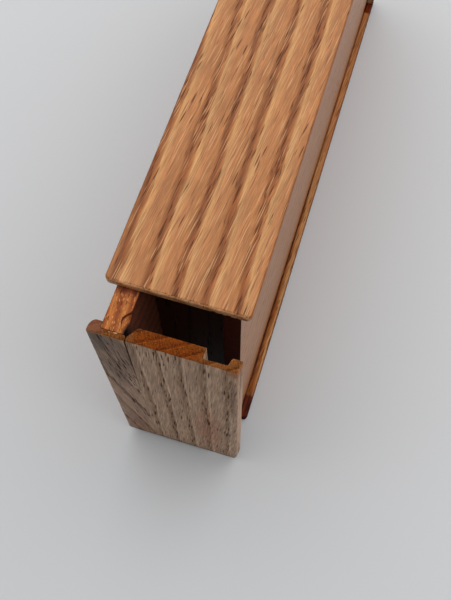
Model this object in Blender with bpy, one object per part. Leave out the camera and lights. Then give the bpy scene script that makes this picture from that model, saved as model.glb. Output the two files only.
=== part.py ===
"""Slim oak box for papers and keepsakes, whose front panel and left wall slide out together.

Lengths are in metres. +Z is up, +Y runs from the sliding front to the back, and +X is to the right
of someone who faces the front. The origin is the centre of the base board's underside.
The pieces stand as the box is left part open, with the front panel drawn forward of the lid.
"""

import math

import bmesh
import bpy
from mathutils import Matrix, Vector

# Lid and base boards
BOARD_WIDTH = 0.0500
BOARD_LENGTH = 0.2680
BOARD_THICKNESS = 0.0030
BOARD_CORNER_RADIUS = 0.0020
BOARD_EDGE_RADIUS = 0.0012
CORNER_STEPS = 6
EDGE_STEPS = 4
SHARP_TURN_DEGREES = 35

# Long walls between the boards
CLEAR_HEIGHT = 0.1203
RIGHT_OVERHANG = 0.0038
RIGHT_WALL_THICKNESS = 0.0064
LEFT_OVERHANG = 0.0042
LEFT_WALL_THICKNESS = 0.0080

# End panels, each with a dado for either wall
PANEL_THICKNESS = 0.0056
DADO_FLOOR_WOOD = 0.0018
RIGHT_DADO_PLAY = 0.0008
LEFT_DADO_PLAY = 0.0006

# Front panel's own wear and shape
FRONT_PROUD_RIGHT = 0.0015
FRONT_RIGHT_SLANT = 0.0006
FRONT_RIGHT_ROUND = 0.0012
FRONT_FLANGE_SETBACK = 0.0010
RIGHT_DADO_FLARE = 0.0008
LEFT_END_ROUND_WIDTH = 0.0024
LEFT_END_ROUND_DEPTH = 0.0036
ROUND_STEPS = 6

# Split down the front panel, beside the left wall's dado
SPLIT_FROM_DADO = 0.0003
SPLIT_WIDTH = 0.0005
SPLIT_LENGTH = 0.0520
SPLIT_DEPTH = 0.0014

# Broken corner at the top of the front panel's middle block
BREAK_REACH = 0.0037
BREAK_DROP = 0.0080

# Chip out of the left wall's top edge, at its front and on its inner side
CHIP_FROM_FRONT = 0.0054
CHIP_INSIDE_FACE = 0.0008
CHIP_ABOVE_TOP = 0.0006
CHIP_HALF_WIDTH = 0.0039
CHIP_HALF_LENGTH = 0.0056
CHIP_HALF_DEPTH = 0.0024
CHIP_ROUND_STEPS = 24
CHIP_RISE_STEPS = 12

# Cross piece behind the front panel
INNER_END_SETBACK = 0.0087
INNER_END_THICKNESS = 0.0050

# Guide keys on the boards and their stopped grooves in the left wall
KEY_WIDTH = 0.0020
KEY_HEIGHT = 0.0024
KEY_LENGTH = 0.0600
KEY_SETBACK = 0.0210
GROOVE_END_WOOD = 0.0100

# Fits
JOINT_GAP = 0.0003
RUNNING_GAP = 0.0003
CUT_OVERRUN = 0.0005

# How far the sliding pieces are drawn out
DRAWN_OUT = 0.0176

# Levels and faces that several pieces share
BASE_TOP = BOARD_THICKNESS
LID_BOTTOM = BOARD_THICKNESS + CLEAR_HEIGHT
WALL_BOTTOM = BASE_TOP + JOINT_GAP
WALL_HEIGHT = CLEAR_HEIGHT - 2 * JOINT_GAP
WALL_TOP = WALL_BOTTOM + WALL_HEIGHT
HALF_WIDTH = BOARD_WIDTH / 2
BOARD_FRONT = -BOARD_LENGTH / 2
BOARD_BACK = BOARD_LENGTH / 2
RIGHT_WALL_OUTER = HALF_WIDTH - RIGHT_OVERHANG
RIGHT_WALL_INNER = RIGHT_WALL_OUTER - RIGHT_WALL_THICKNESS
LEFT_WALL_OUTER = -HALF_WIDTH + LEFT_OVERHANG
LEFT_WALL_INNER = LEFT_WALL_OUTER + LEFT_WALL_THICKNESS
LEFT_WALL_MIDDLE = LEFT_WALL_OUTER + LEFT_WALL_THICKNESS / 2
SHUT_WALL_FRONT = BOARD_FRONT + DADO_FLOOR_WOOD + JOINT_GAP
SHUT_WALL_BACK = BOARD_BACK - DADO_FLOOR_WOOD - JOINT_GAP
WALL_LENGTH = SHUT_WALL_BACK - SHUT_WALL_FRONT
PANEL_FACE = BOARD_FRONT - DRAWN_OUT
KEY_FRONT = BOARD_FRONT + KEY_SETBACK

RED_OAK = (0.40, 0.18, 0.07, 1.0)
SLIDING_OAK = (0.32, 0.12, 0.035, 1.0)
KEY_OAK = (0.30, 0.14, 0.06, 1.0)
OILED_ROUGHNESS = 0.45
BARE_ROUGHNESS = 0.65


def clear_scene():
    """Empty the scene of objects, so that the model is all it holds."""
    for item in list(bpy.data.objects):
        bpy.data.objects.remove(item, do_unlink=True)


def wood(name, colour, roughness):
    """A plain wood surface of one colour."""
    material = bpy.data.materials.new(name)
    material.use_nodes = True
    shader = material.node_tree.nodes["Principled BSDF"]
    shader.inputs["Base Color"].default_value = colour
    shader.inputs["Roughness"].default_value = roughness
    shader.inputs["Metallic"].default_value = 0.0
    return material


def add_piece(name, shape, place, material, parent=None):
    """Turn a bmesh into an object that stands at a place."""
    bmesh.ops.recalc_face_normals(shape, faces=shape.faces)
    mesh = bpy.data.meshes.new(name)
    shape.to_mesh(mesh)
    shape.free()
    if material:
        mesh.materials.append(material)
    item = bpy.data.objects.new(name, mesh)
    bpy.context.collection.objects.link(item)
    item.location = place
    if parent:
        item.parent = parent
        item.matrix_parent_inverse = Matrix.Translation(-parent.location)
    return item


def add_cutter(name, shape, place, parent=None):
    """A shape that only takes wood away from another piece."""
    cutter = add_piece(name, shape, place, None, parent)
    cutter.hide_render = True
    cutter.display_type = "WIRE"
    return cutter


def cut(piece, cutter):
    """Take the cutter's space out of a piece."""
    step = piece.modifiers.new("cut_" + cutter.name, "BOOLEAN")
    step.operation = "DIFFERENCE"
    step.solver = "EXACT"
    step.object = cutter


def block(size):
    """A rectangular block centred on its origin."""
    shape = bmesh.new()
    bmesh.ops.create_cube(shape, size=1.0, matrix=Matrix.Diagonal((*size, 1.0)))
    return shape


def middle(low, high):
    """The centre and the size of a box given by two corners."""
    size = Vector(high) - Vector(low)
    return Vector(low) + size / 2, size


def extrude_outline(outline, height):
    """An upright prism over an outline that runs anticlockwise seen from above."""
    shape = bmesh.new()
    corners = [shape.verts.new((x, y, 0)) for x, y in outline]
    floor = shape.faces.new(corners)
    raised = bmesh.ops.extrude_face_region(shape, geom=[floor])
    top = [item for item in raised["geom"] if isinstance(item, bmesh.types.BMVert)]
    bmesh.ops.translate(shape, verts=top, vec=(0, 0, height))
    return shape


def quarter_round(centre_x, centre_y, reach_x, reach_y, start_degrees):
    """A quarter of an ellipse as outline points, anticlockwise from a start direction."""
    points = []
    for step in range(ROUND_STEPS + 1):
        turn = math.radians(start_degrees + 90 * step / ROUND_STEPS)
        points.append((centre_x + reach_x * math.cos(turn), centre_y + reach_y * math.sin(turn)))
    return points


def rise(edge):
    """The difference in height between an edge's two ends."""
    return abs(edge.verts[0].co.z - edge.verts[1].co.z)


def make_board(name, underside, material):
    """A thin board with rounded corners and all its long arrises rounded over."""
    shape = block((BOARD_WIDTH, BOARD_LENGTH, BOARD_THICKNESS))
    upright = [edge for edge in shape.edges if rise(edge) > BOARD_EDGE_RADIUS]
    bmesh.ops.bevel(shape, geom=upright, offset=BOARD_CORNER_RADIUS, offset_type="OFFSET",
                    segments=CORNER_STEPS, profile=0.5, affect="EDGES", material=-1)
    level = [edge for edge in shape.edges if rise(edge) < BOARD_EDGE_RADIUS]
    bmesh.ops.bevel(shape, geom=level, offset=BOARD_EDGE_RADIUS, offset_type="OFFSET",
                    segments=EDGE_STEPS, profile=0.5, affect="EDGES", material=-1)
    board = add_piece(name, shape, (0, 0, underside + BOARD_THICKNESS / 2), material)
    board.data.shade_smooth()
    board.data.set_sharp_from_angle(angle=math.radians(SHARP_TURN_DEGREES))
    return board


def make_right_wall(material):
    """The fixed wall, glued between the boards and into the back panel."""
    low = (RIGHT_WALL_INNER, SHUT_WALL_FRONT, WALL_BOTTOM)
    high = (RIGHT_WALL_OUTER, SHUT_WALL_BACK, WALL_TOP)
    centre, size = middle(low, high)
    return add_piece("right_wall", block(size), centre, material)


def make_inner_end(material):
    """The cross piece that closes the compartment, just clear of the sliding wall."""
    front = BOARD_FRONT + INNER_END_SETBACK
    low = (LEFT_WALL_INNER + RUNNING_GAP, front, WALL_BOTTOM)
    high = (RIGHT_WALL_INNER - JOINT_GAP, front + INNER_END_THICKNESS, WALL_TOP)
    centre, size = middle(low, high)
    return add_piece("inner_end", block(size), centre, material)


def make_back_panel(material):
    """The fixed end panel, flush with the boards' back edges, with a dado for either wall."""
    outer = BOARD_BACK
    inner = BOARD_BACK - PANEL_THICKNESS
    floor = BOARD_BACK - DADO_FLOOR_WOOD
    outline = [
        (HALF_WIDTH, outer),
        (-HALF_WIDTH, outer),
        (-HALF_WIDTH, inner),
        (LEFT_WALL_OUTER - RUNNING_GAP, inner),
        (LEFT_WALL_OUTER - RUNNING_GAP, floor),
        (LEFT_WALL_INNER + RUNNING_GAP, floor),
        (LEFT_WALL_INNER + RUNNING_GAP, inner),
        (RIGHT_WALL_INNER - JOINT_GAP, inner),
        (RIGHT_WALL_INNER - JOINT_GAP, floor),
        (RIGHT_WALL_OUTER + JOINT_GAP, floor),
        (RIGHT_WALL_OUTER + JOINT_GAP, inner),
        (HALF_WIDTH, inner),
    ]
    shape = extrude_outline(outline, WALL_HEIGHT)
    return add_piece("back_panel", shape, (0, 0, WALL_BOTTOM), material)


def front_panel_outline():
    """The front panel seen from above, with its outer face along y = 0 and its inner side towards +y."""
    flange = PANEL_THICKNESS - FRONT_FLANGE_SETBACK
    left_end = -HALF_WIDTH
    right_end = HALF_WIDTH + FRONT_PROUD_RIGHT
    right_front = right_end - FRONT_RIGHT_SLANT
    right_floor_end = RIGHT_WALL_OUTER + RIGHT_DADO_PLAY
    right_round = quarter_round(right_front - FRONT_RIGHT_ROUND, FRONT_RIGHT_ROUND,
                                FRONT_RIGHT_ROUND, FRONT_RIGHT_ROUND, -90)
    left_round = quarter_round(left_end + LEFT_END_ROUND_WIDTH, flange - LEFT_END_ROUND_DEPTH,
                               LEFT_END_ROUND_WIDTH, LEFT_END_ROUND_DEPTH, 90)
    return [
        (left_end, 0),
        *right_round,
        (right_end, flange),
        (right_floor_end + RIGHT_DADO_FLARE, flange),
        (right_floor_end, DADO_FLOOR_WOOD),
        (RIGHT_WALL_INNER - RIGHT_DADO_PLAY, DADO_FLOOR_WOOD),
        (RIGHT_WALL_INNER - RIGHT_DADO_PLAY, PANEL_THICKNESS),
        (LEFT_WALL_INNER + LEFT_DADO_PLAY, PANEL_THICKNESS),
        (LEFT_WALL_INNER + LEFT_DADO_PLAY, DADO_FLOOR_WOOD),
        (LEFT_WALL_OUTER - JOINT_GAP, DADO_FLOOR_WOOD),
        (LEFT_WALL_OUTER - JOINT_GAP, flange),
        *left_round,
    ]


def split_shape():
    """A thin wedge, widest at the top and closing to nothing at the split's foot."""
    shape = bmesh.new()
    half = SPLIT_WIDTH / 2
    profile = [(-half, CUT_OVERRUN), (0, -SPLIT_LENGTH), (half, CUT_OVERRUN)]
    outer = [shape.verts.new((x, -CUT_OVERRUN, z)) for x, z in profile]
    inner = [shape.verts.new((x, SPLIT_DEPTH, z)) for x, z in profile]
    shape.faces.new(outer)
    shape.faces.new(inner)
    for place in range(len(profile)):
        following = (place + 1) % len(profile)
        shape.faces.new((outer[place], outer[following], inner[following], inner[place]))
    return shape


def break_shape():
    """A slanted corner of wood, with its square corner at the origin, that has broken away."""
    dado_depth = PANEL_THICKNESS - DADO_FLOOR_WOOD
    shape = bmesh.new()
    foot = shape.verts.new((-CUT_OVERRUN, CUT_OVERRUN, -BREAK_DROP))
    corner = shape.verts.new((-CUT_OVERRUN, CUT_OVERRUN, CUT_OVERRUN))
    along_back = shape.verts.new((BREAK_REACH, CUT_OVERRUN, CUT_OVERRUN))
    along_dado = shape.verts.new((-CUT_OVERRUN, -dado_depth, CUT_OVERRUN))
    shape.faces.new((corner, along_back, along_dado))
    shape.faces.new((foot, along_back, corner))
    shape.faces.new((foot, corner, along_dado))
    shape.faces.new((foot, along_dado, along_back))
    return shape


def make_front_panel(material, carriage):
    """The sliding end panel, with its split and its broken block corner."""
    place = Vector((0, PANEL_FACE, WALL_BOTTOM))
    shape = extrude_outline(front_panel_outline(), WALL_HEIGHT)
    panel = add_piece("front_panel", shape, place, material, carriage)
    split_x = LEFT_WALL_INNER + LEFT_DADO_PLAY + SPLIT_FROM_DADO
    split_place = (split_x, PANEL_FACE, WALL_TOP)
    cut(panel, add_cutter("front_panel_split", split_shape(), split_place, carriage))
    corner_place = (LEFT_WALL_INNER + LEFT_DADO_PLAY, PANEL_FACE + PANEL_THICKNESS, WALL_TOP)
    cut(panel, add_cutter("front_panel_break", break_shape(), corner_place, carriage))
    return panel


def chip_shape():
    """A flattened round scoop."""
    shape = bmesh.new()
    size = Matrix.Diagonal((CHIP_HALF_WIDTH, CHIP_HALF_LENGTH, CHIP_HALF_DEPTH, 1.0))
    bmesh.ops.create_uvsphere(shape, u_segments=CHIP_ROUND_STEPS, v_segments=CHIP_RISE_STEPS,
                              radius=1.0, matrix=size)
    return shape


def make_left_wall(material, carriage):
    """The sliding wall, seated in the front panel, with a stopped groove in its top and bottom edges."""
    front = PANEL_FACE + DADO_FLOOR_WOOD + JOINT_GAP
    back = front + WALL_LENGTH
    centre, size = middle((LEFT_WALL_OUTER, front, WALL_BOTTOM), (LEFT_WALL_INNER, back, WALL_TOP))
    wall = add_piece("left_wall", block(size), centre, material, carriage)
    groove_front = KEY_FRONT - RUNNING_GAP - DRAWN_OUT
    groove_back = back - GROOVE_END_WOOD
    groove_half = KEY_WIDTH / 2 + RUNNING_GAP
    groove_depth = KEY_HEIGHT + RUNNING_GAP
    levels = {
        "top_groove": (WALL_TOP - groove_depth, WALL_TOP + CUT_OVERRUN),
        "bottom_groove": (WALL_BOTTOM - CUT_OVERRUN, WALL_BOTTOM + groove_depth),
    }
    for name, (low_z, high_z) in levels.items():
        low = (LEFT_WALL_MIDDLE - groove_half, groove_front, low_z)
        high = (LEFT_WALL_MIDDLE + groove_half, groove_back, high_z)
        groove_centre, groove_size = middle(low, high)
        cut(wall, add_cutter(name, block(groove_size), groove_centre, carriage))
    chip_place = (LEFT_WALL_INNER + CHIP_INSIDE_FACE, front + CHIP_FROM_FRONT, WALL_TOP + CHIP_ABOVE_TOP)
    cut(wall, add_cutter("left_wall_chip", chip_shape(), chip_place, carriage))
    return wall


def make_key(name, low_z, material):
    """A guide strip, glued to a board, that runs in the left wall's groove."""
    low = (LEFT_WALL_MIDDLE - KEY_WIDTH / 2, KEY_FRONT, low_z)
    high = (LEFT_WALL_MIDDLE + KEY_WIDTH / 2, KEY_FRONT + KEY_LENGTH, low_z + KEY_HEIGHT)
    centre, size = middle(low, high)
    return add_piece(name, block(size), centre, material)


def make_carriage():
    """The guide line of the sliding pieces: both hang from this empty, which is on the joint's axis."""
    carriage = bpy.data.objects.new("front_slide", None)
    bpy.context.collection.objects.link(carriage)
    carriage.location = (LEFT_WALL_MIDDLE, PANEL_FACE, WALL_BOTTOM + WALL_HEIGHT / 2)
    return carriage


def build_box():
    """Make every piece of the box."""
    clear_scene()
    board_oak = wood("oiled_red_oak", RED_OAK, OILED_ROUGHNESS)
    side_oak = wood("oiled_oak_side", RED_OAK, OILED_ROUGHNESS)
    front_oak = wood("oiled_oak_front", RED_OAK, OILED_ROUGHNESS)
    sliding_oak = wood("bare_oak_slide", SLIDING_OAK, BARE_ROUGHNESS)
    key_oak = wood("plain_oak", KEY_OAK, BARE_ROUGHNESS)
    make_board("base_board", 0, board_oak.copy())
    make_board("lid_board", LID_BOTTOM, board_oak)
    make_right_wall(side_oak)
    make_inner_end(side_oak.copy())
    make_back_panel(side_oak.copy())
    make_key("bottom_key", WALL_BOTTOM, key_oak)
    make_key("top_key", WALL_TOP - KEY_HEIGHT, key_oak.copy())
    carriage = make_carriage()
    make_front_panel(front_oak, carriage)
    make_left_wall(sliding_oak, carriage)
    bpy.context.view_layer.update()


build_box()
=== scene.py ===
"""The looks of a slim oak box whose end panel and one side wall slide out together.

Lengths are in metres unless a name ends in _mm. The frame gives every piece its place and overall size.
"""
import math

import bmesh
import bpy
from mathutils import Euler, Matrix, Vector, noise


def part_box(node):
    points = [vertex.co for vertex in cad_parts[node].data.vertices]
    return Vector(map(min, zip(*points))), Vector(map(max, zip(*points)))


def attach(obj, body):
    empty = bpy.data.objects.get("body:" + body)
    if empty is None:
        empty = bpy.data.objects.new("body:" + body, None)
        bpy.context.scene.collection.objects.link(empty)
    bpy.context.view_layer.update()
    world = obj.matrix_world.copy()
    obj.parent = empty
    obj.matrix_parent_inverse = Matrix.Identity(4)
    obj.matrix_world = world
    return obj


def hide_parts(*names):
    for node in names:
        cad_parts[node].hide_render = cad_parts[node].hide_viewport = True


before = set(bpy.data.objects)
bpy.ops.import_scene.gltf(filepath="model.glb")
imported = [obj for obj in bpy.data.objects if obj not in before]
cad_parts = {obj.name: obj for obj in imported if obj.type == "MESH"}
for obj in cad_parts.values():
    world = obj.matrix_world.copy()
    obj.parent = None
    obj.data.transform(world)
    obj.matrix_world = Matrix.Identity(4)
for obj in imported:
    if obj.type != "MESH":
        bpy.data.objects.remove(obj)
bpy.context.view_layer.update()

MM_PER_M = 1000.0

# Boards and plain arrises
BOARD_CORNER_RADIUS = 0.0020
BOARD_TOP_EDGE_RADIUS = 0.0012
BOARD_LOW_EDGE_RADIUS = 0.00025
ARRIS_RADIUS = 0.00030
BOARD_STEPS = 5
BASE_SET_BACK = 0.0016
ARRIS_STEPS = 2
SHARP_TURN = math.radians(38)
WELD = 0.000005
END_TURN = 0.70
RIM_SHARE = 0.99

# Unevenness left by hand planing and sanding
SLICE_SPACING = 0.004
PANEL_SLICE_SPACING = 0.0010
WAVER_REACH = 0.00006
WAVER_SPAN = 0.012
WAVER_SHIFTS = [Vector((0.0, 0.0, 0.0)), Vector((31.7, 0.0, 0.0)), Vector((0.0, 47.3, 0.0))]

# Front panel
DADO_FLOOR_WOOD = 0.0018
FLANGE_SETBACK = 0.0010
RIGHT_DADO_PLAY = 0.0008
LEFT_DADO_PLAY = 0.0006
JOINT_GAP = 0.0003
GLUE_LINE = 0.00004
RIGHT_SLANT = 0.0006
RIGHT_ROUND = 0.0007
DADO_FLARE = 0.0008
LEFT_END_ROUND_WIDTH = 0.0024
LEFT_END_ROUND_DEPTH = 0.0036
ROUND_STEPS = 8
CHISEL_REACH = 0.00022
CHISEL_SPAN = Vector((0.0016, 0.0030, 0.0160))
FOOT_LEVELS_MM = [0.3, 0.6, 0.9, 1.2, 1.6, 2.0, 2.5]
FOOT_WEAR = (0.0, 0.0007, 0.0009)
RIGHT_FOOT_WEAR = (0.0025, 0.0, 0.0025)
LEFT_FOOT_WEAR = (0.0012, 0.0, 0.0014)
RIGHT_TOP_WEAR = (0.0011, 0.0, 0.0010)

# Split down the front panel, beside the left wall's dado
SPLIT_FROM_DADO = 0.0003
SPLIT_WIDTH = 0.0007
SPLIT_LENGTH = 0.0520
SPLIT_DEPTH = 0.0030
SPLIT_CUTS = 18
SPLIT_LEAST_SHARE = 0.35
SPLIT_WANDER = 0.00008
SPLIT_WANDER_SPAN = 0.010

# Torn surfaces: places in mm from the lid's front edge, negative to the front, with x from the middle
TORN_CUTS = 36
TORN_REACH = 0.00012
TORN_SPAN = 0.0011
TORN_LEAST = 0.000125
BREAK_EDGE_MM = [(-12.0, -8.5), (-12.7, -9.3), (-13.9, -10.1), (-15.0, -10.9), (-16.2, -11.5)]
BREAK_STEEPNESS = 9.0
BREAK_REACH = 0.0045
CHIP_EDGE_MM = [(-5.3, -12.5), (-6.4, -12.8), (-7.6, -13.2), (-8.9, -14.5), (-10.1, -15.2), (-11.3, -15.2),
                (-12.4, -14.9), (-13.4, -14.5), (-14.6, -13.6), (-15.6, -12.6)]
CHIP_STEP = 0.00080
CHIP_STEP_REACH = 0.0004
CHIP_SLOPE = 0.50
CHIP_FADE_MM = (-10.5, -14.5)
CHIP_LEAST_SHARE = 0.15
CHIP_REACH = 0.0036
NICKS_MM = [(12.4, 0.2, 0.8), (15.0, 0.1, 0.6), (17.3, 0.2, 0.9), (20.3, 0.1, 0.6)]
NICK_DEPTH_SHARE = 0.6
LUMP_SPAN = 2.2
LUMP_UNEVENNESS = 0.4
GLUE_BEADS_MM = [(-15.3, -15.8, 0.50), (-15.9, -15.9, 0.30), (-17.6, -15.9, 0.20)]
BEAD_SHARES = (1.0, 0.4, 0.3)
BEAD_SINK_SHARE = 0.1

# Guide grooves
KEY_WIDTH = 0.0020
RUNNING_GAP = 0.0003
GROOVE_DEPTH = 0.0027
GROOVE_END_WOOD = 0.0100
OVERRUN = 0.0005

# Camera, matched to the photograph
IMAGE_LONG_SIDE_PX = 600
FOCAL_LENGTH_PX = 786.8
SENSOR_WIDTH_MM = 36.0
CAMERA_PLACE = Vector((0.04682, -0.22669, 0.35610))
CAMERA_TURN_DEGREES = (23.880, 0.428, 17.142)

# Light and table
SOFTBOX_PLACE = (0.15, 0.75, 1.30)
SOFTBOX_SIZE = (3.6, 3.0)
SOFTBOX_WATTS = 55.0
ROOM_LEVEL = 0.10
BACKGROUND_LEVEL = 0.58
TABLE_COLOUR = "#c6c8ca"
TABLE_REACH = 3.0

# Figure of the wood: sizes in mm across the rings, along the rings and along the grain
SLOW_DRIFT_MM = (16.0, 16.0, 70.0)
QUICK_DRIFT_MM = (2.4, 2.4, 16.0)
CLOUD_MM = (2.6, 2.6, 34.0)
RAY_MM = (5.0, 0.35, 2.5)
SLOW_DRIFT_TIMES = 3
NOISE_LOW, NOISE_HIGH = 0.3, 0.7
FLECK_RIM, FLECK_CORE = 0.52, 0.22
LEAN_YEAR, RICH_YEAR = 0.6, 1.2

# How squarely a face must look along a direction before its tone starts to change, and has changed
END_FROM, END_TO = 0.55, 0.95
EDGE_FROM, EDGE_TO = 0.97, 0.55
INSIDE_FROM, INSIDE_TO = 0.45, 0.85

# Surface of the oiled wood and of the glue
OIL_IOR = 1.45
PORE_ROUGHNESS = 0.8
PORE_DEPTH = 0.00012
FIBRE_RELIEF = 0.15
GLUE_CLOUD_SCALE = 1500.0

# Patches of stain and tone, a few of them painted shade and painted light: how ragged and soft they are, a
# reach that takes in everything, and the dark board ends
PATCH_RAG_SCALE = 0.45
PATCH_RAG = 0.7
PATCH_SOFT_CORE = 0.25
ALL_MM = 1000.0
DARK_END_MM = 13.5
EASE = {"interpolation_type": "SMOOTHSTEP"}

# The lid's front edge, from which the photograph's places are read
EDGE_Y_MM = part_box("lid_board")[0].y * MM_PER_M
TOP_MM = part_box("lid_board")[1].z * MM_PER_M


def linear(colour):
    """An sRGB hex colour as linear red, green, blue and alpha."""
    values = [int(colour[place:place + 2], 16) / 255 for place in (1, 3, 5)]
    return (*[v / 12.92 if v <= 0.04045 else ((v + 0.055) / 1.055) ** 2.4 for v in values], 1.0)


def add(tree, kind, sockets=None, stops=None, **settings):
    """Add a node. Its sockets take values, hex colours, other sockets or nodes; a ramp takes stops."""
    node = tree.nodes.new("ShaderNode" + kind)
    for name, value in settings.items():
        setattr(node, name, value)
    for name, value in (sockets or {}).items():
        if isinstance(name, int):
            socket = node.inputs[name]
        else:
            socket = next(item for item in node.inputs if item.enabled and item.name == name)
        if isinstance(value, bpy.types.Node):
            value = next(item for item in value.outputs if item.enabled)
        if isinstance(value, bpy.types.NodeSocket):
            tree.links.new(value, socket)
        elif isinstance(value, str):
            socket.default_value = linear(value)
        else:
            socket.default_value = value
    for place, colour in stops or []:
        if place in (0, 1):
            node.color_ramp.elements[-int(place)].color = linear(colour)
        else:
            node.color_ramp.elements.new(place).color = linear(colour)
    return node


def blotch(tree, place, centre_mm, reach_mm, turn_degrees=0.0, crispness=0.0):
    """A ragged patch, one at its centre and nothing past its reach, turned about the Y axis."""
    offset = add(tree, "VectorMath", {0: place, 1: centre_mm}, operation="SUBTRACT")
    turned = add(tree, "VectorRotate", {"Vector": offset, "Angle": math.radians(turn_degrees)},
                 rotation_type="Y_AXIS")
    share = add(tree, "VectorMath", {0: turned, 1: reach_mm}, operation="DIVIDE")
    ragged = add(tree, "TexNoise", {"Vector": place, "Scale": PATCH_RAG_SCALE, "Detail": 3.0})
    ragged = add(tree, "VectorMath", {0: ragged.outputs["Color"], 1: (0.5, 0.5, 0.5)}, operation="SUBTRACT")
    rag = PATCH_RAG * (1 - crispness)
    share = add(tree, "VectorMath", {0: ragged, 1: (rag, rag, rag), 2: share}, operation="MULTIPLY_ADD")
    far = add(tree, "VectorMath", {0: share}, operation="LENGTH").outputs["Value"]
    core = PATCH_SOFT_CORE + PATCH_RAG * crispness
    return add(tree, "MapRange", {"Value": far, "From Min": 1.0, "From Max": core}, **EASE)


def log_axes(grain, ring_normal):
    """A log's own axes as matrix rows: across the rings, along the rings, along the grain."""
    along = Vector(grain).normalized()
    across = Vector(ring_normal)
    across = (across - along * across.dot(along)).normalized()
    return Matrix((across, along.cross(across), along))


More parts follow.
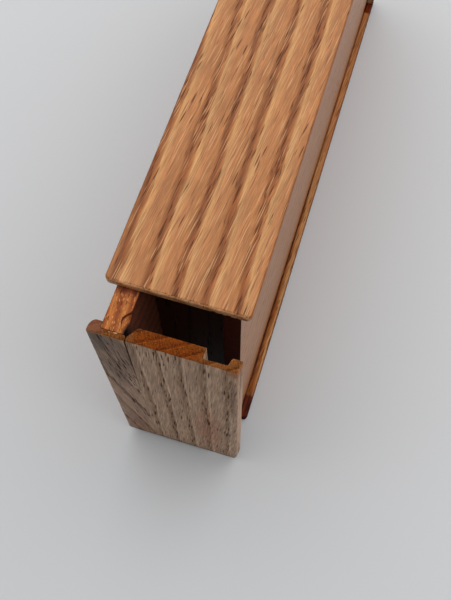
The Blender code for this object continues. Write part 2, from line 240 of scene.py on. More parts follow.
def oak(name, look):
    """Red oak with a satin oil finish.

    The eye gets bands of dark open pores from the spring wood of each year, a pale line and plain wood
    between them, fine fibre, darker end grain that has drunk more oil, and a low sheen.
    """
    material = bpy.data.materials.new(name)
    material.use_nodes = True
    tree = material.node_tree
    shader = tree.nodes["Principled BSDF"]
    where = add(tree, "TexCoord")
    place = add(tree, "VectorMath", {0: where.outputs["Object"], "Scale": MM_PER_M}, operation="SCALE")
    split = add(tree, "SeparateXYZ", {0: place})

    # A stretch beside a split whose grain leans over
    grown = stood = place
    if "lean" in look:
        lean = look["lean"]
        side = add(tree, "MapRange", {"Value": split.outputs["X"], "From Min": lean["from_x_mm"],
                                      "From Max": lean["to_x_mm"]}, **EASE)
        rise = add(tree, "Math", {0: split.outputs["Z"], 1: lean["level_z_mm"]}, operation="SUBTRACT")
        fall = add(tree, "Math", {0: rise, 1: 0.0}, operation="MINIMUM")
        fall = add(tree, "Math", {0: fall, 1: lean["slope_below"]}, operation="MULTIPLY")
        rise = add(tree, "Math", {0: rise, 1: lean["slope"], 2: fall}, operation="MULTIPLY_ADD")
        shift = add(tree, "Math", {0: rise, 1: side}, operation="MULTIPLY")
        shift = add(tree, "CombineXYZ", {"X": shift})
        grown = add(tree, "VectorMath", {0: place, 1: shift}, operation="ADD")
        shift = add(tree, "Math", {0: split.outputs["Z"], 1: side}, operation="MULTIPLY")
        shift = add(tree, "Math", {0: shift, 1: lean["strand_slope"]}, operation="MULTIPLY")
        shift = add(tree, "CombineXYZ", {"X": shift})
        stood = add(tree, "VectorMath", {0: place, 1: shift}, operation="ADD")

    # The growth rings follow the log's axes, and the strands of fibre and pores lean a little off them
    axes = log_axes(look["grain"], look["ring_normal"])
    along = axes[2]
    start = axes @ Vector(look["ring_at_mm"])
    log = add(tree, "Mapping", {"Vector": grown, "Location": (-start.x, -start.y, 0.0),
                                "Rotation": axes.to_euler()})
    slow = add(tree, "VectorMath", {0: log, 1: SLOW_DRIFT_MM}, operation="DIVIDE")
    slow = add(tree, "TexNoise", {"Vector": slow, "Scale": 1.0, "Detail": 1.0})
    slow = add(tree, "VectorMath", {0: slow.outputs["Color"], 1: (0.5, 0.5, 0.5)}, operation="SUBTRACT")
    quick = add(tree, "VectorMath", {0: log, 1: QUICK_DRIFT_MM}, operation="DIVIDE")
    quick = add(tree, "TexNoise", {"Vector": quick, "Scale": 1.0, "Detail": 1.0})
    quick = add(tree, "VectorMath", {0: quick.outputs["Color"], 1: (0.5, 0.5, 0.5)}, operation="SUBTRACT")
    wander = Vector((look["wander_mm"], look["wander_mm"], 0.0))
    bent = add(tree, "VectorMath", {0: slow, 1: wander * SLOW_DRIFT_TIMES, 2: log}, operation="MULTIPLY_ADD")
    bent = add(tree, "VectorMath", {0: quick, 1: wander, 2: bent}, operation="MULTIPLY_ADD")
    strand_axes = log_axes(look["strand"], look["ring_normal"])
    strand = add(tree, "Mapping", {"Vector": stood, "Rotation": strand_axes.to_euler()})
    strand = add(tree, "VectorMath", {0: quick, 1: wander, 2: strand}, operation="MULTIPLY_ADD")

    # Growth rings, each with its own luck
    radial = add(tree, "SeparateXYZ", {0: bent}).outputs["X"]
    rings = add(tree, "Math", {0: radial, 1: look["ring_mm"]}, operation="DIVIDE")
    phase = add(tree, "Math", {0: rings}, operation="FRACT")
    year = add(tree, "Math", {0: rings, 1: 0.5}, operation="ADD")
    year = add(tree, "Math", {0: year}, operation="FLOOR")
    luck = add(tree, "TexWhiteNoise", {"W": year}, noise_dimensions="1D").outputs["Value"]
    tone = add(tree, "ValToRGB", {"Fac": phase}, stops=look["tones"])
    share = look["spring_share"]
    after = add(tree, "MapRange", {"Value": phase, "From Min": share, "From Max": 0.0}, **EASE)
    before = add(tree, "MapRange", {"Value": phase, "From Min": 1 - share / 2, "From Max": 1.0}, **EASE)
    spring = add(tree, "Math", {0: after, 1: before}, operation="MAXIMUM")
    for spread in look.get("pore_patches", []):
        spring = add(tree, "Math", {0: spring, 1: blotch(tree, place, *spread)}, operation="MAXIMUM")

    # Fibre, slow change of tone, rays and pores
    thread = add(tree, "VectorMath", {0: strand, 1: look["fibre_mm"]}, operation="DIVIDE")
    fibre = add(tree, "TexNoise", {"Vector": thread, "Scale": 1.0, "Detail": 2.0, "Roughness": 0.6})
    cloud = add(tree, "VectorMath", {0: strand, 1: CLOUD_MM}, operation="DIVIDE")
    cloud = add(tree, "TexNoise", {"Vector": cloud, "Scale": 1.0, "Detail": 1.0})
    ray = add(tree, "VectorMath", {0: log, 1: RAY_MM}, operation="DIVIDE")
    ray = add(tree, "TexNoise", {"Vector": ray, "Scale": 1.0, "Detail": 1.0})
    levels = []
    for pattern, key in ((fibre, "fibre_depth"), (cloud, "cloud_depth"), (ray, "ray_depth")):
        depth = look[key]
        levels.append(add(tree, "MapRange", {"Value": pattern, "From Min": NOISE_LOW, "From Max": NOISE_HIGH,
                                             "To Min": 1 - depth, "To Max": 1 + depth}))
    fibre_level, cloud_level, ray_level = levels
    level = add(tree, "Math", {0: fibre_level, 1: cloud_level}, operation="MULTIPLY")
    level = add(tree, "Math", {0: level, 1: ray_level}, operation="MULTIPLY")
    level = add(tree, "CombineColor", {"Red": level, "Green": level, "Blue": level})
    colour = add(tree, "Mix", {"Factor": 1.0, "A": tone, "B": level}, data_type="RGBA", blend_type="MULTIPLY")
    pores = None
    for hue, width_mm, length_mm, depth, spring_part, other_part in look["flecks"]:
        # A fleck fills about half of its cell. Real pores are 0.3 mm wide, and finer ones wouldn't show.
        cells = add(tree, "VectorMath", {0: strand, 1: (width_mm, width_mm, length_mm)}, operation="DIVIDE")
        cells = add(tree, "TexVoronoi", {"Vector": cells, "Scale": 1.0}, feature="F1")
        core = add(tree, "MapRange", {"Value": cells.outputs["Distance"], "From Min": FLECK_RIM,
                                      "From Max": FLECK_CORE, "To Max": depth}, **EASE)
        chance = add(tree, "SeparateColor", {"Color": cells.outputs["Color"]}).outputs["Red"]
        crowd = add(tree, "MapRange", {"Value": luck, "To Min": LEAN_YEAR * spring_part,
                                       "To Max": RICH_YEAR * spring_part})
        crowd = add(tree, "Math", {0: crowd, 1: spring}, operation="MULTIPLY")
        crowd = add(tree, "Math", {0: crowd, 1: other_part}, operation="ADD")
        kept = add(tree, "Math", {0: chance, 1: crowd}, operation="LESS_THAN")
        fleck = add(tree, "Math", {0: core, 1: kept}, operation="MULTIPLY")
        colour = add(tree, "Mix", {"Factor": fleck, "A": colour, "B": hue}, data_type="RGBA")
        if pores is None:
            pores = fleck

    # End grain and rounded edges have drunk more oil
    normal = where.outputs["Normal"]
    grain_part = add(tree, "VectorMath", {0: normal, 1: along}, operation="DOT_PRODUCT")
    grain_part = add(tree, "Math", {0: grain_part.outputs["Value"]}, operation="ABSOLUTE")
    end = add(tree, "MapRange", {"Value": grain_part, "From Min": END_FROM, "From Max": END_TO}, **EASE)
    colour = add(tree, "Mix", {"Factor": end, "A": colour, "B": look["end_soak"]}, data_type="RGBA",
                 blend_type="MULTIPLY")
    face_part = add(tree, "VectorMath", {0: normal, 1: look["face"]}, operation="DOT_PRODUCT")
    face_part = add(tree, "Math", {0: face_part.outputs["Value"]}, operation="ABSOLUTE")
    edge = add(tree, "MapRange", {"Value": face_part, "From Min": EDGE_FROM, "From Max": EDGE_TO,
                                  "To Max": look["edge_share"]}, **EASE)
    colour = add(tree, "Mix", {"Factor": edge, "A": colour, "B": look["edge_soak"]}, data_type="RGBA",
                 blend_type="MULTIPLY")
    # Faces that look into the box are darkened: painted shade of the box's inside.
    if "inside" in look:
        inner = add(tree, "VectorMath", {0: normal, 1: look["inside"]}, operation="DOT_PRODUCT")
        inner = add(tree, "MapRange", {"Value": inner.outputs["Value"], "From Min": INSIDE_FROM,
                                       "From Max": INSIDE_TO}, **EASE)
        colour = add(tree, "Mix", {"Factor": inner, "A": colour, "B": look["inside_painted_shade"]}, data_type="RGBA",
                     blend_type="MULTIPLY")
    # Patches of stain and tone; a few are painted shade and painted light instead.
    for blend, hue, strength, *spread in look.get("patches_and_painted_light", []):
        patch = blotch(tree, place, *spread)
        patch = add(tree, "Math", {0: patch, 1: strength}, operation="MULTIPLY")
        colour = add(tree, "Mix", {"Factor": patch, "A": colour, "B": hue}, data_type="RGBA",
                     blend_type=blend)

    # Satin oil over the wood, with the pores matt and sunk
    rough = add(tree, "MapRange", {"Value": pores, "To Min": look["roughness"], "To Max": PORE_ROUGHNESS})
    height = add(tree, "Math", {0: fibre, 1: FIBRE_RELIEF}, operation="MULTIPLY")
    height = add(tree, "Math", {0: height, 1: pores}, operation="SUBTRACT")
    bump = add(tree, "Bump", {"Height": height, "Strength": look["relief"], "Distance": PORE_DEPTH})
    for socket, source in (("Base Color", colour), ("Roughness", rough), ("Normal", bump)):
        tree.links.new(next(item for item in source.outputs if item.enabled), shader.inputs[socket])
    shader.inputs["IOR"].default_value = OIL_IOR
    shader.inputs["Specular IOR Level"].default_value = look["gloss"]
    return material


PLAIN_OAK = {
    "grain": (-0.035, 1.0, 0.0),
    "strand": (0.10, 1.0, 0.0),
    "ring_normal": (0.60, 0.0, 0.80),
    "ring_at_mm": (-1.7, EDGE_Y_MM + 15, TOP_MM),
    "ring_mm": 6.2,
    "spring_share": 0.29,
    "wander_mm": 0.9,
    "tones": [(0, "#7e4519"), (0.08, "#86491d"), (0.19, "#a16534"), (0.25, "#bb8956"), (0.33, "#b47f4e"),
              (0.50, "#aa7043"), (0.84, "#a66c3d"), (0.94, "#8e5427"), (1, "#7e4519")],
    "flecks": [("#42200a", 0.60, 8.0, 0.78, 0.85, 0.06), ("#633412", 0.42, 13.0, 0.68, 0.75, 0.20),
               ("#d6a674", 0.42, 16.0, 0.55, 0.12, 0.30)],
    "fibre_mm": (0.36, 0.36, 9.0),
    "fibre_depth": 0.26,
    "cloud_depth": 0.12,
    "ray_depth": 0.04,
    "end_soak": "#ad895d",
    "face": (0.0, 0.0, 1.0),
    "edge_soak": "#e0c69c",
    "edge_share": 1.0,
    "roughness": 0.40,
    "relief": 0.7,
    "gloss": 0.28,
}
END_OAK = {
    "roughness": 0.8,
    "gloss": 0.08,
    "ray_depth": 0.30,
    "flecks": [("#44260f", 0.50, 6.0, 0.70, 0.50, 0.18), ("#dfac78", 0.40, 6.0, 0.65, 0.25, 0.26)],
}
# The lid's front and back ends get a much paler copy of the oak: painted light, for light the room doesn't
# throw on them.
LID_END_PAINTED_LIGHT_OAK = {**PLAIN_OAK, "edge_share": 0.0, "end_soak": "#ffffff", "gloss": 0.5, "roughness": 0.5,
                "tones": [(0, "#a87248"), (0.5, "#d09a6c"), (1, "#a87248")]}
BASE_OAK = {
    **PLAIN_OAK,
    "ring_at_mm": (3.0, EDGE_Y_MM, 3.0),
    "edge_soak": "#b8967c",
    "gloss": 0.10,
    "patches_and_painted_light": [
        ("MULTIPLY", "#a0663a", 1.0, (24.0, EDGE_Y_MM, 0.0), (ALL_MM, DARK_END_MM, ALL_MM), 0.0, 0.92),
        ("MULTIPLY", "#a0663a", 1.0, (24.0, -EDGE_Y_MM, 0.0), (ALL_MM, DARK_END_MM, ALL_MM), 0.0, 0.92),
        # painted shade: a dark line along the base's top where the right wall stands on it, the shadow in
        # that joint
        ("MULTIPLY", "#8a6040", 0.8, (21.3, 0.0, 3.0), (0.9, ALL_MM, ALL_MM), 0.0, 0.6),
    ],
}
WALL_OAK = {**PLAIN_OAK, "grain": (0.0, 1.0, 0.03), "strand": (0.0, 1.0, 0.06),
            "ring_normal": (0.8, 0.0, 0.6), "face": (1.0, 0.0, 0.0),
            "ring_at_mm": (21.0, -100.0, 60.0), "edge_share": 0.0,
            "flecks": [("#5a3418", 0.9, 4.5, 0.60, 0.30, 0.05),
                       ("#d8b496", 1.3, 9.0, 0.35, 0.15, 0.15)],
            "tones": [(0, "#9c6438"), (0.3, "#a86e40"), (0.7, "#a86e40"), (1, "#9c6438")],
            "fibre_mm": (0.4, 0.4, 10.0), "fibre_depth": 0.16, "cloud_depth": 0.03, "ray_depth": 0.0,
            "relief": 0.1, "gloss": 0.5,
            "pore_patches": [((21.2, EDGE_Y_MM + 8.0, 102.0), (9.0, 9.0, 26.0))],
            # painted shade on the right wall's face that looks into the box
            "inside": (-1.0, 0.0, 0.0), "inside_painted_shade": "#5f4f48"}
INNER_OAK = {**PLAIN_OAK, "grain": (0.0, 0.0, 1.0), "strand": (0.0, 0.0, 1.0), "ring_normal": (0.8, 0.5, 0.0),
             "face": (0.0, 1.0, 0.0), "ring_at_mm": (5.0, -123.0, 60.0), "edge_share": 0.0,
             # painted shade on the inner end's face that looks into the pocket
             "inside": (0.0, -1.0, 0.0), "inside_painted_shade": "#4c3c36"}
SLIDE_OAK = {**PLAIN_OAK, "grain": (-0.10, 1.0, 0.0), "strand": (-0.06, 1.0, 0.0),
             "ring_normal": (0.9, 0.0, 0.45), "ring_at_mm": (-17.6, EDGE_Y_MM - 6, 123.0), "ring_mm": 3.4,
             "wander_mm": 0.5, "face": (1.0, 0.0, 0.0), "edge_share": 0.9, "edge_soak": "#e2bd88",
             "tones": [(0, "#8a4c1e"), (0.25, "#aa6a34"), (0.45, "#c08a58"), (0.75, "#b0743e"),
                       (1, "#8a4c1e")],
             "flecks": [("#5c2e10", 0.60, 2.6, 0.75, 0.55, 0.20), ("#eeba92", 0.50, 1.4, 0.65, 0.3, 0.34),
                        ("#7a4520", 0.42, 0.9, 0.55, 0.4, 0.28)],
             "fibre_depth": 0.22, "roughness": 0.6, "gloss": 0.25,
             # painted shade on the sliding wall's face that looks into the box
             "inside": (1.0, 0.0, 0.0), "inside_painted_shade": "#8c6450",
             "patches_and_painted_light": [
                 # painted shade: a near-black patch on the wall's inner side, the shade in the gap beside the
                 # broken corner
                 ("MULTIPLY", "#2c1e18", 1.0, (-12.0, EDGE_Y_MM - 15.0, 119.0), (2.6, 6.0, 30.0), 0.0),
                 # painted shade: the wall's top darkened where it runs in under the lid's front edge
                 ("MULTIPLY", "#a87c54", 0.9, (-17.0, EDGE_Y_MM + 1.0, 123.0), (9.0, 5.0, 6.0), 0.0),
             ]}
UPRIGHT_OAK = {**PLAIN_OAK, "grain": (0.0, 0.0, 1.0), "strand": (0.07, 0.0, 1.0),
               "ring_normal": (-0.485, 0.875, 0.0), "ring_at_mm": (-0.9, EDGE_Y_MM - 17.6, 100.0),
               "ring_mm": 3.75, "spring_share": 0.30, "wander_mm": 0.5, "face": (0.0, 1.0, 0.0),
               "edge_share": 0.3, "edge_soak": "#d9bc90",
               "tones": [(0, "#8e6848"), (0.12, "#926c4a"), (0.26, "#a68365"), (0.50, "#ae8b6d"),
                         (0.78, "#ac896c"), (0.88, "#c8a486"), (0.95, "#a38160"), (1, "#8e6848")],
               "flecks": [("#452007", 0.78, 8.0, 0.94, 0.95, 0.02), ("#5c3416", 0.52, 8.0, 0.80, 0.85, 0.15),
                          ("#dcbea2", 0.46, 11.0, 0.55, 0.15, 0.28)],
               "fibre_mm": (0.42, 0.42, 8.0), "fibre_depth": 0.42, "roughness": 0.45, "gloss": 0.16}
FRONT_MM = EDGE_Y_MM - 17.6
FRONT_OAK = {**UPRIGHT_OAK,
             # painted shade on the front panel's face that looks into the box
             "inside": (0.0, 1.0, 0.0), "inside_painted_shade": "#84756b",
             "lean": {"from_x_mm": -11.4, "to_x_mm": -12.2, "level_z_mm": 80.0, "slope": 0.10,
                      "slope_below": 0.18, "strand_slope": 0.18},
             "pore_patches": [
                 ((-17.0, FRONT_MM, 96.0), (6.5, 9.0, 30.0)),
                 ((-17.5, FRONT_MM, 56.5), (1.9, 9.0, 27.0), 15.6),
                 ((23.0, FRONT_MM, 96.0), (1.5, 9.0, 36.0)),
                 ((-2.0, FRONT_MM, 116.0), (11.0, 9.0, 9.0)),
             ],
             "patches_and_painted_light": [
                 ("MULTIPLY", "#c0bab6", 1.0, (-19.0, FRONT_MM, 104.0), (10.5, 12.0, 40.0), 0.0, 0.3),
                 ("MULTIPLY", "#b4aca8", 0.9, (-22.0, FRONT_MM, 117.0), (7.0, 12.0, 14.0), 0.0),
                 ("MULTIPLY", "#a08468", 0.6, (-17.5, FRONT_MM, 56.5), (1.6, 9.0, 27.0), 15.6),
                 ("MULTIPLY", "#eae2e0", 1.0, (-18.5, FRONT_MM, 45.0), (9.0, 9.0, 42.0), 0.0, 0.3),
                 ("MULTIPLY", "#d8c2b0", 1.0, (-19.0, FRONT_MM, 14.0), (9.0, 9.0, 30.0), 0.0),
                 ("MULTIPLY", "#b49c88", 1.0, (0.0, FRONT_MM, 2.5), (60.0, 9.0, 5.0), 0.0),
                 ("MULTIPLY", "#bcaa96", 1.0, (24.0, FRONT_MM, 95.0), (1.8, 9.0, 34.0), 0.0),
                 ("MULTIPLY", "#f6d8ca", 0.9, (14.0, FRONT_MM, 42.0), (8.0, 9.0, 42.0), 0.0),
                 ("MIX", "#9c5a26", 0.9, (25.5, FRONT_MM, 122.0), (4.5, 9.0, 6.0), 0.0, 0.2),
                 ("MIX", "#a8703e", 0.8, (-18.0, FRONT_MM, 123.3), (13.0, 3.0, 1.5), 0.0, 0.2),
                 # painted light: the panel's right end face lightened for the light and sheen it catches from
                 # the right
                 ("MIX", "#cfa88c", 0.7, (26.6, FRONT_MM + 2.6, 58.0), (0.9, 9.0, 64.0), 0.0, 0.5),
             ]}
END_PATCHES = {
    "front": [("MULTIPLY", "#f8ce84", 1.0, (2.0, FRONT_MM + 3.0, 123.0), (14.5, 5.0, 6.0), 0.0, 0.6),
              ("MIX", "#7c5142", 0.5, (-23.0, FRONT_MM + 2.2, 123.0), (5.0, 5.0, 6.0), 0.0)],
    "wall": [("MULTIPLY", "#8a6a60", 1.0, (18.0, EDGE_Y_MM + 2.0, 60.0), (ALL_MM, 20.0, ALL_MM), 0.0, 0.9)],
    "base": [("MULTIPLY", "#a87858", 1.0, (0.0, EDGE_Y_MM, 0.0), (ALL_MM, DARK_END_MM, ALL_MM), 0.0, 0.92)],
}


def box_shape(low, high):
    """A rectangular block between two corners."""
    shape = bmesh.new()
    size = Matrix.Diagonal((*(high - low), 1.0))
    bmesh.ops.create_cube(shape, size=1.0, matrix=Matrix.Translation((low + high) / 2) @ size)
    return shape


def prism(outline, low_z, high_z):
    """An upright prism over an outline that is given as corners in order."""
    shape = bmesh.new()
    floor = shape.faces.new([shape.verts.new((x, y, low_z)) for x, y in outline])
    raised = bmesh.ops.extrude_face_region(shape, geom=[floor])
    top = [item for item in raised["geom"] if isinstance(item, bmesh.types.BMVert)]
    bmesh.ops.translate(shape, verts=top, vec=(0, 0, high_z - low_z))
    bmesh.ops.recalc_face_normals(shape, faces=shape.faces)
    return shape


def soften(shape, edges, radius, steps):
    """Round the given arrises."""
    bmesh.ops.bevel(shape, geom=edges, offset=radius, offset_type="OFFSET", segments=steps,
                    profile=0.5, affect="EDGES", material=-1)


def sharp_edges(shape):
    """The arrises where two faces meet at a clear angle."""
    return [edge for edge in shape.edges if edge.calc_face_angle(0) > SHARP_TURN]


def slice_at(shape, axis, levels):
    """Divide a shape at the given levels of an axis."""
    across = Vector([1.0 if place == axis else 0.0 for place in range(3)])
    for level in levels:
        everything = shape.verts[:] + shape.edges[:] + shape.faces[:]
        bmesh.ops.bisect_plane(shape, geom=everything, dist=WELD, plane_co=across * level, plane_no=across)


def slice_along(shape, axis, low, high, spacing=SLICE_SPACING):
    """Divide a shape into even slices along an axis, so that its faces can waver."""
    count = max(2, round((high[axis] - low[axis]) / spacing))
    slice_at(shape, axis, [low[axis] + (high[axis] - low[axis]) * step / count for step in range(1, count)])


def wear_corner(points, corner, radii):
    """Round a square corner over by hand wear. A radius of nothing leaves that direction alone."""
    live = [axis for axis in range(3) if radii[axis]]
    middle = {axis: corner[axis] - math.copysign(abs(radii[axis]), radii[axis]) for axis in live}
    for point in points:
        out = [(point.co[axis] - middle[axis]) / radii[axis] for axis in live]
        if min(out) > 0:
            ease = max(out) / math.hypot(*out)
            for axis, share in zip(live, out):
                point.co[axis] = middle[axis] + radii[axis] * share * ease


def waver(shape, node):
    """Move points a little, as hand-planed and sanded wood does, but never out of the node's box."""
    low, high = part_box(node)
    for point in shape.verts:
        place = point.co / WAVER_SPAN
        point.co += Vector([noise.noise(place + shift) for shift in WAVER_SHIFTS]) * WAVER_REACH
        point.co = Vector([min(max(point.co[axis], low[axis]), high[axis]) for axis in range(3)])


def make_object(name, shape, material):
    """An object at the origin, with its place in its mesh."""
    bmesh.ops.remove_doubles(shape, verts=shape.verts[:], dist=WELD)
    bmesh.ops.recalc_face_normals(shape, faces=shape.faces)
    mesh = bpy.data.meshes.new(name)
    shape.to_mesh(mesh)
    shape.free()
    mesh.materials.append(material)
    item = bpy.data.objects.new(name, mesh)
    bpy.context.scene.collection.objects.link(item)
    return item


def split_to_triangles(item):
    """Split a piece's slightly twisted faces into flat triangles, so that carving meets every one exactly."""
    shape = bmesh.new()
    shape.from_mesh(item.data)
    bmesh.ops.triangulate(shape, faces=shape.faces[:])
    shape.to_mesh(item.data)
    shape.free()


def carve(item, cutter_shape):
    """Take a shape's space out of a piece for good."""
    cutter = make_object("carving_tool", cutter_shape, item.data.materials[0])
    split_to_triangles(item)
    split_to_triangles(cutter)
    step = item.modifiers.new("carve", "BOOLEAN")
    step.operation = "DIFFERENCE"
    step.solver = "EXACT"
    step.object = cutter
    bpy.context.view_layer.update()
    carved = bpy.data.meshes.new_from_object(item.evaluated_get(bpy.context.evaluated_depsgraph_get()))
    item.modifiers.clear()
    item.data = carved
    bpy.data.objects.remove(cutter, do_unlink=True)


def show_end_grain(item, material, axis):
    """Give the faces that the grain runs out of their own drier, more soaked look."""
    item.data.materials.append(material)
    for face in item.data.polygons:
        if abs(face.normal[axis]) > END_TURN:
            face.material_index = 1


def finish_piece(item, body, node=None):
    """Shade a piece, let it ride on its body and stand for its node."""
    item.data.shade_smooth()
    item.data.set_sharp_from_angle(angle=SHARP_TURN)
    normals = item.modifiers.new("flat_faces", "WEIGHTED_NORMAL")
    normals.keep_sharp = True
    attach(item, body)
    if node:
        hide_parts(node)
    return item


def lump(place, radii):
    """A small uneven ball."""
    shape = bmesh.new()
    bmesh.ops.create_icosphere(shape, subdivisions=3, radius=1.0)
    for point in shape.verts:
        point.co *= 1 + LUMP_UNEVENNESS * noise.noise(point.co * LUMP_SPAN + place * MM_PER_M)
    matrix = Matrix.Translation(place) @ Matrix.Diagonal((*radii, 1.0))
    bmesh.ops.transform(shape, matrix=matrix, verts=shape.verts)
    return shape


def edge_at(edge_mm, y):
    """The x of a drawn edge at a given y, both in metres."""
    y_mm = y * MM_PER_M - EDGE_Y_MM
    for (near_y, near_x), (far_y, far_x) in zip(edge_mm, edge_mm[1:]):
        if near_y >= y_mm >= far_y:
            share = (near_y - y_mm) / (near_y - far_y)
            return (near_x + (far_x - near_x) * share) / MM_PER_M
    return edge_mm[0][1] / MM_PER_M if y_mm > edge_mm[0][0] else edge_mm[-1][1] / MM_PER_M


def torn_cutter(low, high, height_over):
    """A block for carving, whose underside is a torn surface given as a height over each place."""
    shape = bmesh.new()
    bmesh.ops.create_grid(shape, x_segments=TORN_CUTS, y_segments=TORN_CUTS, size=0.5)
    raised = bmesh.ops.extrude_face_region(shape, geom=shape.faces[:])
    top = {item for item in raised["geom"] if isinstance(item, bmesh.types.BMVert)}
    for point in shape.verts:
        x = low.x + (point.co.x + 0.5) * (high.x - low.x)
        y = low.y + (point.co.y + 0.5) * (high.y - low.y)
        rough = noise.fractal(Vector((x, y, 0)) / TORN_SPAN, 1.0, 2.0, 3) * TORN_REACH
        under = min(height_over(x, y) + rough, high.z - TORN_LEAST)
        point.co = (x, y, high.z if point in top else under)
    return shape


def make_board(name, node, materials, set_back=0.0):
    """A thin board with rounded corners and all its arrises rounded over, its front end set back a little."""
    low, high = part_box(node)
    low.y += set_back
    middle = (low + high) / 2
    shape = box_shape(low, high)
    upright = [edge for edge in shape.edges
               if abs(edge.verts[0].co.z - edge.verts[1].co.z) > BOARD_LOW_EDGE_RADIUS]
    soften(shape, upright, BOARD_CORNER_RADIUS, BOARD_STEPS)
    for sign, radius in ((1, BOARD_TOP_EDGE_RADIUS), (-1, BOARD_LOW_EDGE_RADIUS)):
        rim = [edge for edge in shape.edges
               if all((point.co.z - middle.z) * sign > (high.z - middle.z) * RIM_SHARE
                      for point in edge.verts)]
        soften(shape, rim, radius, BOARD_STEPS)
    slice_along(shape, 1, low, high)
    waver(shape, node)
    item = make_object(name, shape, materials[0])
    show_end_grain(item, materials[1], 1)
    return finish_piece(item, "case", node)


def make_lid(materials):
    """The lid board, with small nicks out of its front edge."""
    item = make_board("rounded_lid_board", "lid_board", materials)
    low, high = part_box("lid_board")
    for x_mm, back_mm, size_mm in NICKS_MM:
        size = size_mm / MM_PER_M
        place = Vector((x_mm / MM_PER_M, low.y + back_mm / MM_PER_M, low.z))
        carve(item, lump(place, (size, size * NICK_DEPTH_SHARE, size)))
    return item


def make_plank(name, node, body, materials, axis):
    """A plain plank along an axis, with its arrises just broken."""
    low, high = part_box(node)
    shape = box_shape(low, high)
    soften(shape, shape.edges[:], ARRIS_RADIUS, ARRIS_STEPS)
    slice_along(shape, axis, low, high)
    waver(shape, node)
    item = make_object(name, shape, materials[0])
    show_end_grain(item, materials[1], axis)
    return finish_piece(item, body, node)


def make_left_wall(materials):
    """The sliding wall, with its key grooves and the chip torn out of its top edge."""
    low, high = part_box("left_wall")
    shape = box_shape(low, high)
    soften(shape, shape.edges[:], ARRIS_RADIUS, ARRIS_STEPS)
    slice_along(shape, 1, low, high)
    waver(shape, "left_wall")
    item = make_object("sliding_left_wall", shape, materials[0])
    key_low, key_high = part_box("top_key")
    drawn_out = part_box("lid_board")[0].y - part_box("front_panel")[0].y
    half = KEY_WIDTH / 2 + RUNNING_GAP
    middle = (key_low.x + key_high.x) / 2
    front = key_low.y - RUNNING_GAP - drawn_out
    back = high.y - GROOVE_END_WOOD
    for bottom, top in ((high.z - GROOVE_DEPTH, high.z + OVERRUN), (low.z - OVERRUN, low.z + GROOVE_DEPTH)):
        carve(item, box_shape(Vector((middle - half, front, bottom)), Vector((middle + half, back, top))))

    def chip_height(x, y):
        inside = x - edge_at(CHIP_EDGE_MM, y)
        if inside < 0:
            return high.z + OVERRUN
        start, end = CHIP_FADE_MM
        left = min(max((y * MM_PER_M - EDGE_Y_MM - end) / (start - end), CHIP_LEAST_SHARE), 1.0)
        return high.z - CHIP_STEP * left * min(inside / CHIP_STEP_REACH, 1) - CHIP_SLOPE * left * inside

    chip_low = Vector((high.x - CHIP_REACH, (EDGE_Y_MM + CHIP_EDGE_MM[-1][0]) / MM_PER_M, 0))
    chip_high = Vector((high.x + OVERRUN, (EDGE_Y_MM + CHIP_EDGE_MM[0][0]) / MM_PER_M, high.z + 2 * OVERRUN))
    carve(item, torn_cutter(chip_low, chip_high, chip_height))
    show_end_grain(item, materials[1], 1)
    return finish_piece(item, "slide", "left_wall")


def quarter_round(centre_x, centre_y, reach_x, reach_y, start_degrees):
    """A quarter of an ellipse as outline points, anticlockwise from a start direction."""
    turns = [math.radians(start_degrees + 90 * step / ROUND_STEPS) for step in range(ROUND_STEPS + 1)]
    return [(centre_x + reach_x * math.cos(turn), centre_y + reach_y * math.sin(turn)) for turn in turns]


def front_outline():
    """The front panel seen from above, as corners in order, with its dadoes."""
    low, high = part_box("front_panel")
    left_low, left_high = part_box("left_wall")
    right_low, right_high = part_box("right_wall")
    flange = high.y - FLANGE_SETBACK
    floor = low.y + DADO_FLOOR_WOOD
    right_floor_end = right_high.x + RIGHT_DADO_PLAY
    right_round = quarter_round(high.x - RIGHT_SLANT - RIGHT_ROUND, low.y + RIGHT_ROUND,
                                RIGHT_ROUND, RIGHT_ROUND, -90)
    left_round = quarter_round(low.x + LEFT_END_ROUND_WIDTH, flange - LEFT_END_ROUND_DEPTH,
                               LEFT_END_ROUND_WIDTH, LEFT_END_ROUND_DEPTH, 90)
    return [
        (low.x, low.y),
        *right_round,
        (high.x, flange),
        (right_floor_end + DADO_FLARE, flange),
        (right_floor_end, floor),
        (right_low.x - RIGHT_DADO_PLAY, floor),
        (right_low.x - RIGHT_DADO_PLAY, high.y),
        (left_high.x + LEFT_DADO_PLAY, high.y),
        (left_high.x + LEFT_DADO_PLAY, left_low.y - GLUE_LINE),
        (left_low.x - GLUE_LINE, left_low.y - GLUE_LINE),
        (left_low.x - GLUE_LINE, flange),
        *left_round,
    ]


def split_wedge(split_x, face_y, top_z):
    """A thin wandering wedge, widest at the top, for carving the split."""
    low = Vector((split_x - SPLIT_WIDTH / 2, face_y - OVERRUN, top_z - SPLIT_LENGTH))
    high = Vector((split_x + SPLIT_WIDTH / 2, face_y + SPLIT_DEPTH, top_z + OVERRUN))
    shape = box_shape(low, high)
    slice_along(shape, 2, low, high, (high.z - low.z) / SPLIT_CUTS)
    for point in shape.verts:
        share = (point.co.z - low.z) / (high.z - low.z)
        side = point.co.x - split_x
        wander = noise.noise(Vector((0, 0, point.co.z / SPLIT_WANDER_SPAN))) * SPLIT_WANDER
        point.co.x = split_x + side * max(share, SPLIT_LEAST_SHARE) + wander
    return shape


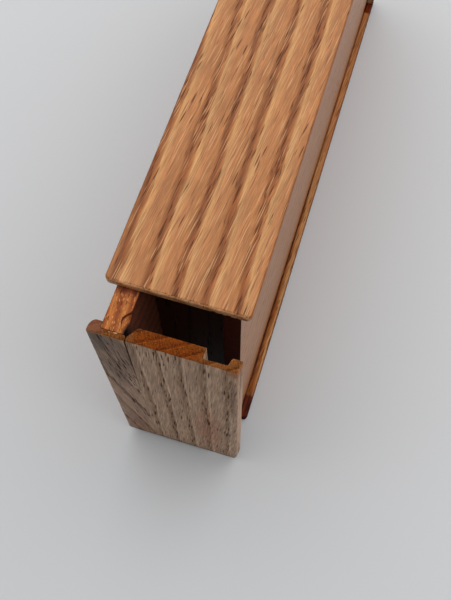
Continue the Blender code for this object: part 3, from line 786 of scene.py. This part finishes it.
def make_front_panel(materials):
    """The sliding end panel: dadoes cut by hand, a split and a broken corner."""
    low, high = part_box("front_panel")
    dado_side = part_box("left_wall")[1].x + LEFT_DADO_PLAY
    right_low, right_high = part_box("right_wall")
    shape = prism(front_outline(), low.z, high.z)
    soften(shape, sharp_edges(shape), ARRIS_RADIUS, ARRIS_STEPS)
    slice_along(shape, 2, low, high)
    slice_along(shape, 0, low, high, PANEL_SLICE_SPACING)
    foot_levels = [step / MM_PER_M for step in FOOT_LEVELS_MM]
    slice_at(shape, 2, [low.z + step for step in foot_levels] + [high.z - step for step in foot_levels])
    slice_at(shape, 0, [low.x + step for step in foot_levels] + [high.x - step for step in foot_levels])
    slice_at(shape, 1, [low.y + step for step in foot_levels if step < FOOT_WEAR[1]])
    floor = low.y + DADO_FLOOR_WOOD
    for point in shape.verts:
        on_floor = abs(point.co.y - floor) < ARRIS_RADIUS / 2
        if on_floor and right_low.x - RIGHT_DADO_PLAY < point.co.x < right_high.x + RIGHT_DADO_PLAY:
            share = [point.co[axis] / CHISEL_SPAN[axis] for axis in range(3)]
            point.co.y += noise.noise(Vector(share)) * CHISEL_REACH
    right_edge = high.x - RIGHT_SLANT / 2
    wear_corner(shape.verts, (0.0, low.y, low.z), [-radius for radius in FOOT_WEAR])
    wear_corner(shape.verts, (right_edge, 0.0, low.z), (RIGHT_FOOT_WEAR[0], 0.0, -RIGHT_FOOT_WEAR[2]))
    wear_corner(shape.verts, (low.x, 0.0, low.z), (-LEFT_FOOT_WEAR[0], 0.0, -LEFT_FOOT_WEAR[2]))
    wear_corner(shape.verts, (right_edge, 0.0, high.z), RIGHT_TOP_WEAR)
    waver(shape, "front_panel")
    item = make_object("sliding_front_panel", shape, materials[0])
    carve(item, split_wedge(dado_side + SPLIT_FROM_DADO, low.y, high.z))

    def break_height(x, y):
        inside = edge_at(BREAK_EDGE_MM, y) - x
        return high.z + OVERRUN if inside < 0 else high.z - BREAK_STEEPNESS * inside

    break_low = Vector((dado_side - OVERRUN, floor, 0))
    break_high = Vector((dado_side + BREAK_REACH, high.y + OVERRUN, high.z + 2 * OVERRUN))
    carve(item, torn_cutter(break_low, break_high, break_height))
    show_end_grain(item, materials[1], 2)
    return finish_piece(item, "slide", "front_panel")


def make_back_panel(materials):
    """The fixed end panel, with a dado for either wall."""
    low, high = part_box("back_panel")
    left_low, left_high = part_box("left_wall")
    right_low, right_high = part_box("right_wall")
    floor = high.y - DADO_FLOOR_WOOD
    outline = [
        (high.x, high.y),
        (low.x, high.y),
        (low.x, low.y),
        (left_low.x - RUNNING_GAP, low.y),
        (left_low.x - RUNNING_GAP, floor),
        (left_high.x + RUNNING_GAP, floor),
        (left_high.x + RUNNING_GAP, low.y),
        (right_low.x - JOINT_GAP, low.y),
        (right_low.x - JOINT_GAP, floor),
        (right_high.x + JOINT_GAP, floor),
        (right_high.x + JOINT_GAP, low.y),
        (high.x, low.y),
    ]
    shape = prism(outline, low.z, high.z)
    soften(shape, sharp_edges(shape), ARRIS_RADIUS, ARRIS_STEPS)
    slice_along(shape, 2, low, high)
    waver(shape, "back_panel")
    item = make_object("dadoed_back_panel", shape, materials[0])
    show_end_grain(item, materials[1], 2)
    return finish_piece(item, "case", "back_panel")


def make_glue():
    """Wood glue squeezed out where the left wall is glued into the front panel: small pale waxy beads."""
    material = bpy.data.materials.new("dried_wood_glue")
    material.use_nodes = True
    tree = material.node_tree
    shader = tree.nodes["Principled BSDF"]
    where = add(tree, "TexCoord")
    cloud = add(tree, "TexNoise", {"Vector": where.outputs["Object"], "Scale": GLUE_CLOUD_SCALE,
                                   "Detail": 2.0})
    colour = add(tree, "ValToRGB", {"Fac": cloud}, stops=[(0, "#b07a50"), (1, "#d9b090")])
    tree.links.new(colour.outputs["Color"], shader.inputs["Base Color"])
    shader.inputs["Roughness"].default_value = 0.5
    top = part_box("left_wall")[1].z
    for count, (x_mm, y_mm, size_mm) in enumerate(GLUE_BEADS_MM, 1):
        size = size_mm / MM_PER_M
        place = Vector((x_mm / MM_PER_M, (EDGE_Y_MM + y_mm) / MM_PER_M, top - size * BEAD_SINK_SHARE))
        bead = lump(place, [size * share for share in BEAD_SHARES])
        bead = make_object(f"glue_bead_{count}", bead, material)
        finish_piece(bead, "slide")


def make_table():
    """A wide pale table top, in matt laminate that gives the eye a plain light ground."""
    shape = bmesh.new()
    bmesh.ops.create_grid(shape, x_segments=2, y_segments=2, size=TABLE_REACH)
    material = bpy.data.materials.new("pale_laminate")
    material.use_nodes = True
    shader = material.node_tree.nodes["Principled BSDF"]
    shader.inputs["Base Color"].default_value = linear(TABLE_COLOUR)
    shader.inputs["Roughness"].default_value = 0.6
    make_object("table_top", shape, material)


def make_light():
    """One wide softbox overhead and a dim even room."""
    data = bpy.data.lights.new("softbox", "AREA")
    data.shape = "RECTANGLE"
    data.size, data.size_y = SOFTBOX_SIZE
    data.energy = SOFTBOX_WATTS
    lamp = bpy.data.objects.new("softbox", data)
    bpy.context.scene.collection.objects.link(lamp)
    lamp.location = SOFTBOX_PLACE
    world = bpy.data.worlds.new("room")
    bpy.context.scene.world = world
    world.use_nodes = True
    tree = world.node_tree
    path = add(tree, "LightPath")
    seen = add(tree, "Math", {0: path.outputs["Is Camera Ray"], 1: path.outputs["Is Glossy Ray"]},
               operation="MAXIMUM")
    seen = add(tree, "Math", {0: seen, 1: path.outputs["Is Transmission Ray"]}, operation="MAXIMUM")
    strength = add(tree, "MapRange", {"Value": seen, "To Min": ROOM_LEVEL, "To Max": BACKGROUND_LEVEL})
    tree.links.new(strength.outputs["Result"], tree.nodes["Background"].inputs["Strength"])
    tree.nodes["Background"].inputs["Color"].default_value = (1.0, 1.0, 1.0, 1.0)


def make_camera():
    """The photograph's viewpoint."""
    data = bpy.data.cameras.new("camera")
    data.sensor_fit = "AUTO"
    data.sensor_width = SENSOR_WIDTH_MM
    data.lens = FOCAL_LENGTH_PX / IMAGE_LONG_SIDE_PX * SENSOR_WIDTH_MM
    camera = bpy.data.objects.new("camera", data)
    bpy.context.scene.collection.objects.link(camera)
    camera.location = CAMERA_PLACE
    camera.rotation_euler = Euler([math.radians(turn) for turn in CAMERA_TURN_DEGREES])
    bpy.context.scene.camera = camera


make_camera()
make_light()
make_table()
woods = {}
for wood, look in (("base", BASE_OAK), ("wall", WALL_OAK), ("inner", INNER_OAK),
                   ("back", UPRIGHT_OAK), ("slide", SLIDE_OAK), ("front", FRONT_OAK)):
    end_look = {**look, **END_OAK, "patches_and_painted_light": END_PATCHES.get(wood, [])}
    woods[wood] = (oak(f"oiled_red_oak_{wood}", look), oak(f"red_oak_end_grain_{wood}", end_look))
# the lid's end faces use the paler copy of the oak, painted light
woods["lid"] = (oak("oiled_red_oak_lid", PLAIN_OAK), oak("red_oak_end_grain_lid_painted_light", LID_END_PAINTED_LIGHT_OAK))
make_lid(woods["lid"])
make_board("rounded_base_board", "base_board", woods["base"], BASE_SET_BACK)
make_plank("fixed_right_wall", "right_wall", "case", woods["wall"], 1)
make_plank("fixed_inner_end", "inner_end", "case", woods["inner"], 2)
make_back_panel(woods["back"])
make_left_wall(woods["slide"])
make_front_panel(woods["front"])
make_glue()
for key in ("top_key", "bottom_key"):
    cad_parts[key].data.materials[0] = woods["wall"][0]

bpy.context.scene.view_settings.view_transform = "Standard"
